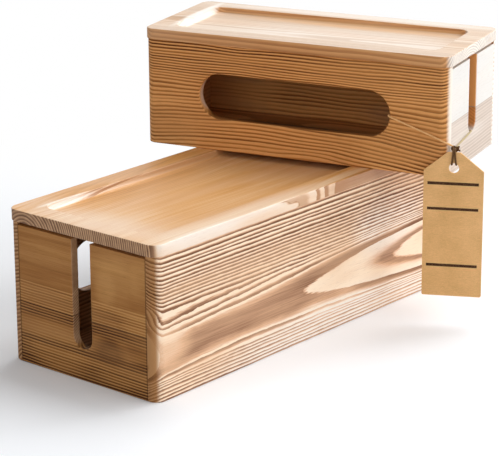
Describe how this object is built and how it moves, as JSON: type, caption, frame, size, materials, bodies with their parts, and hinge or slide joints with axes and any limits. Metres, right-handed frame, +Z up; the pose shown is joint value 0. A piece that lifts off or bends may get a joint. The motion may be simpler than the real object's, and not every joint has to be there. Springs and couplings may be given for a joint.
{
  "type": "cable management box set",
  "caption": "Large and small lidded wooden boxes for hiding power strips and cables, the small one stacked askew on the large one's lid, with a hang tag tied round its corner.",
  "frame": {"origin": "centre of the large box's flat underside, on the surface that it stands on", "axes": "+Z up; +X along the large box's length, with the small box standing over its +X half; -Y out of the large box's plain long wall, and the tag hangs on that side; the small box is turned -74.7 degrees about +Z"},
  "size_m": [0.4082, 0.3307, 0.2335],
  "materials": {
    "box_wood": "satin, oiled, strong straight grain",
    "lid_wood": "satin, oiled, strong straight grain",
    "base_wood": "satin",
    "dowel_wood": "bare",
    "tag_card": "matte kraft card",
    "string": "twisted jute"
  },
  "bodies": {
    "large_box": {"large_front_wall": "box_wood", "large_back_wall": "box_wood", "large_left_end": "box_wood", "large_right_end": "box_wood", "large_base": "base_wood", "large_corner_dowels": "dowel_wood"},
    "large_lid": {"large_lid_board": "lid_wood", "large_lid_front_rail": "lid_wood", "large_lid_back_rail": "lid_wood"},
    "small_box": {"small_front_wall": "box_wood", "small_back_wall": "box_wood", "small_left_end": "box_wood", "small_right_end": "box_wood", "small_base": "base_wood", "small_corner_dowels": "dowel_wood", "tag_string": "string"},
    "small_lid": {"small_lid_board": "lid_wood", "small_lid_front_rail": "lid_wood", "small_lid_back_rail": "lid_wood"},
    "tag_tie": {"tag_knot": "string", "tag_string_drop": "string"},
    "tag": {"tag": "tag_card"}
  },
  "joints": [
    {"name": "large_lid_lift", "type": "slide", "parent": "large_box", "child": "large_lid", "axis": [0, 0, 1], "range_m": [0, 0.12]},
    {"name": "small_box_lift", "type": "slide", "parent": "large_lid", "child": "small_box", "axis": [0, 0, 1], "range_m": [0, 0.12]},
    {"name": "small_lid_lift", "type": "slide", "parent": "small_box", "child": "small_lid", "axis": [0, 0, 1], "range_m": [0, 0.1]},
    {"name": "tag_string_flap", "type": "hinge", "parent": "small_box", "child": "tag_tie", "pos_m": [0.09973, -0.14682, 0.1535], "axis": [-0.4894, 0.8721, 0], "range_deg": [0, 50]},
    {"name": "tag_swing", "type": "hinge", "parent": "tag_tie", "child": "tag", "pos_m": [0.09369, -0.1502, 0.1389], "axis": [-0.8721, -0.4894, 0], "range_deg": [-25, 25]}
  ]
}
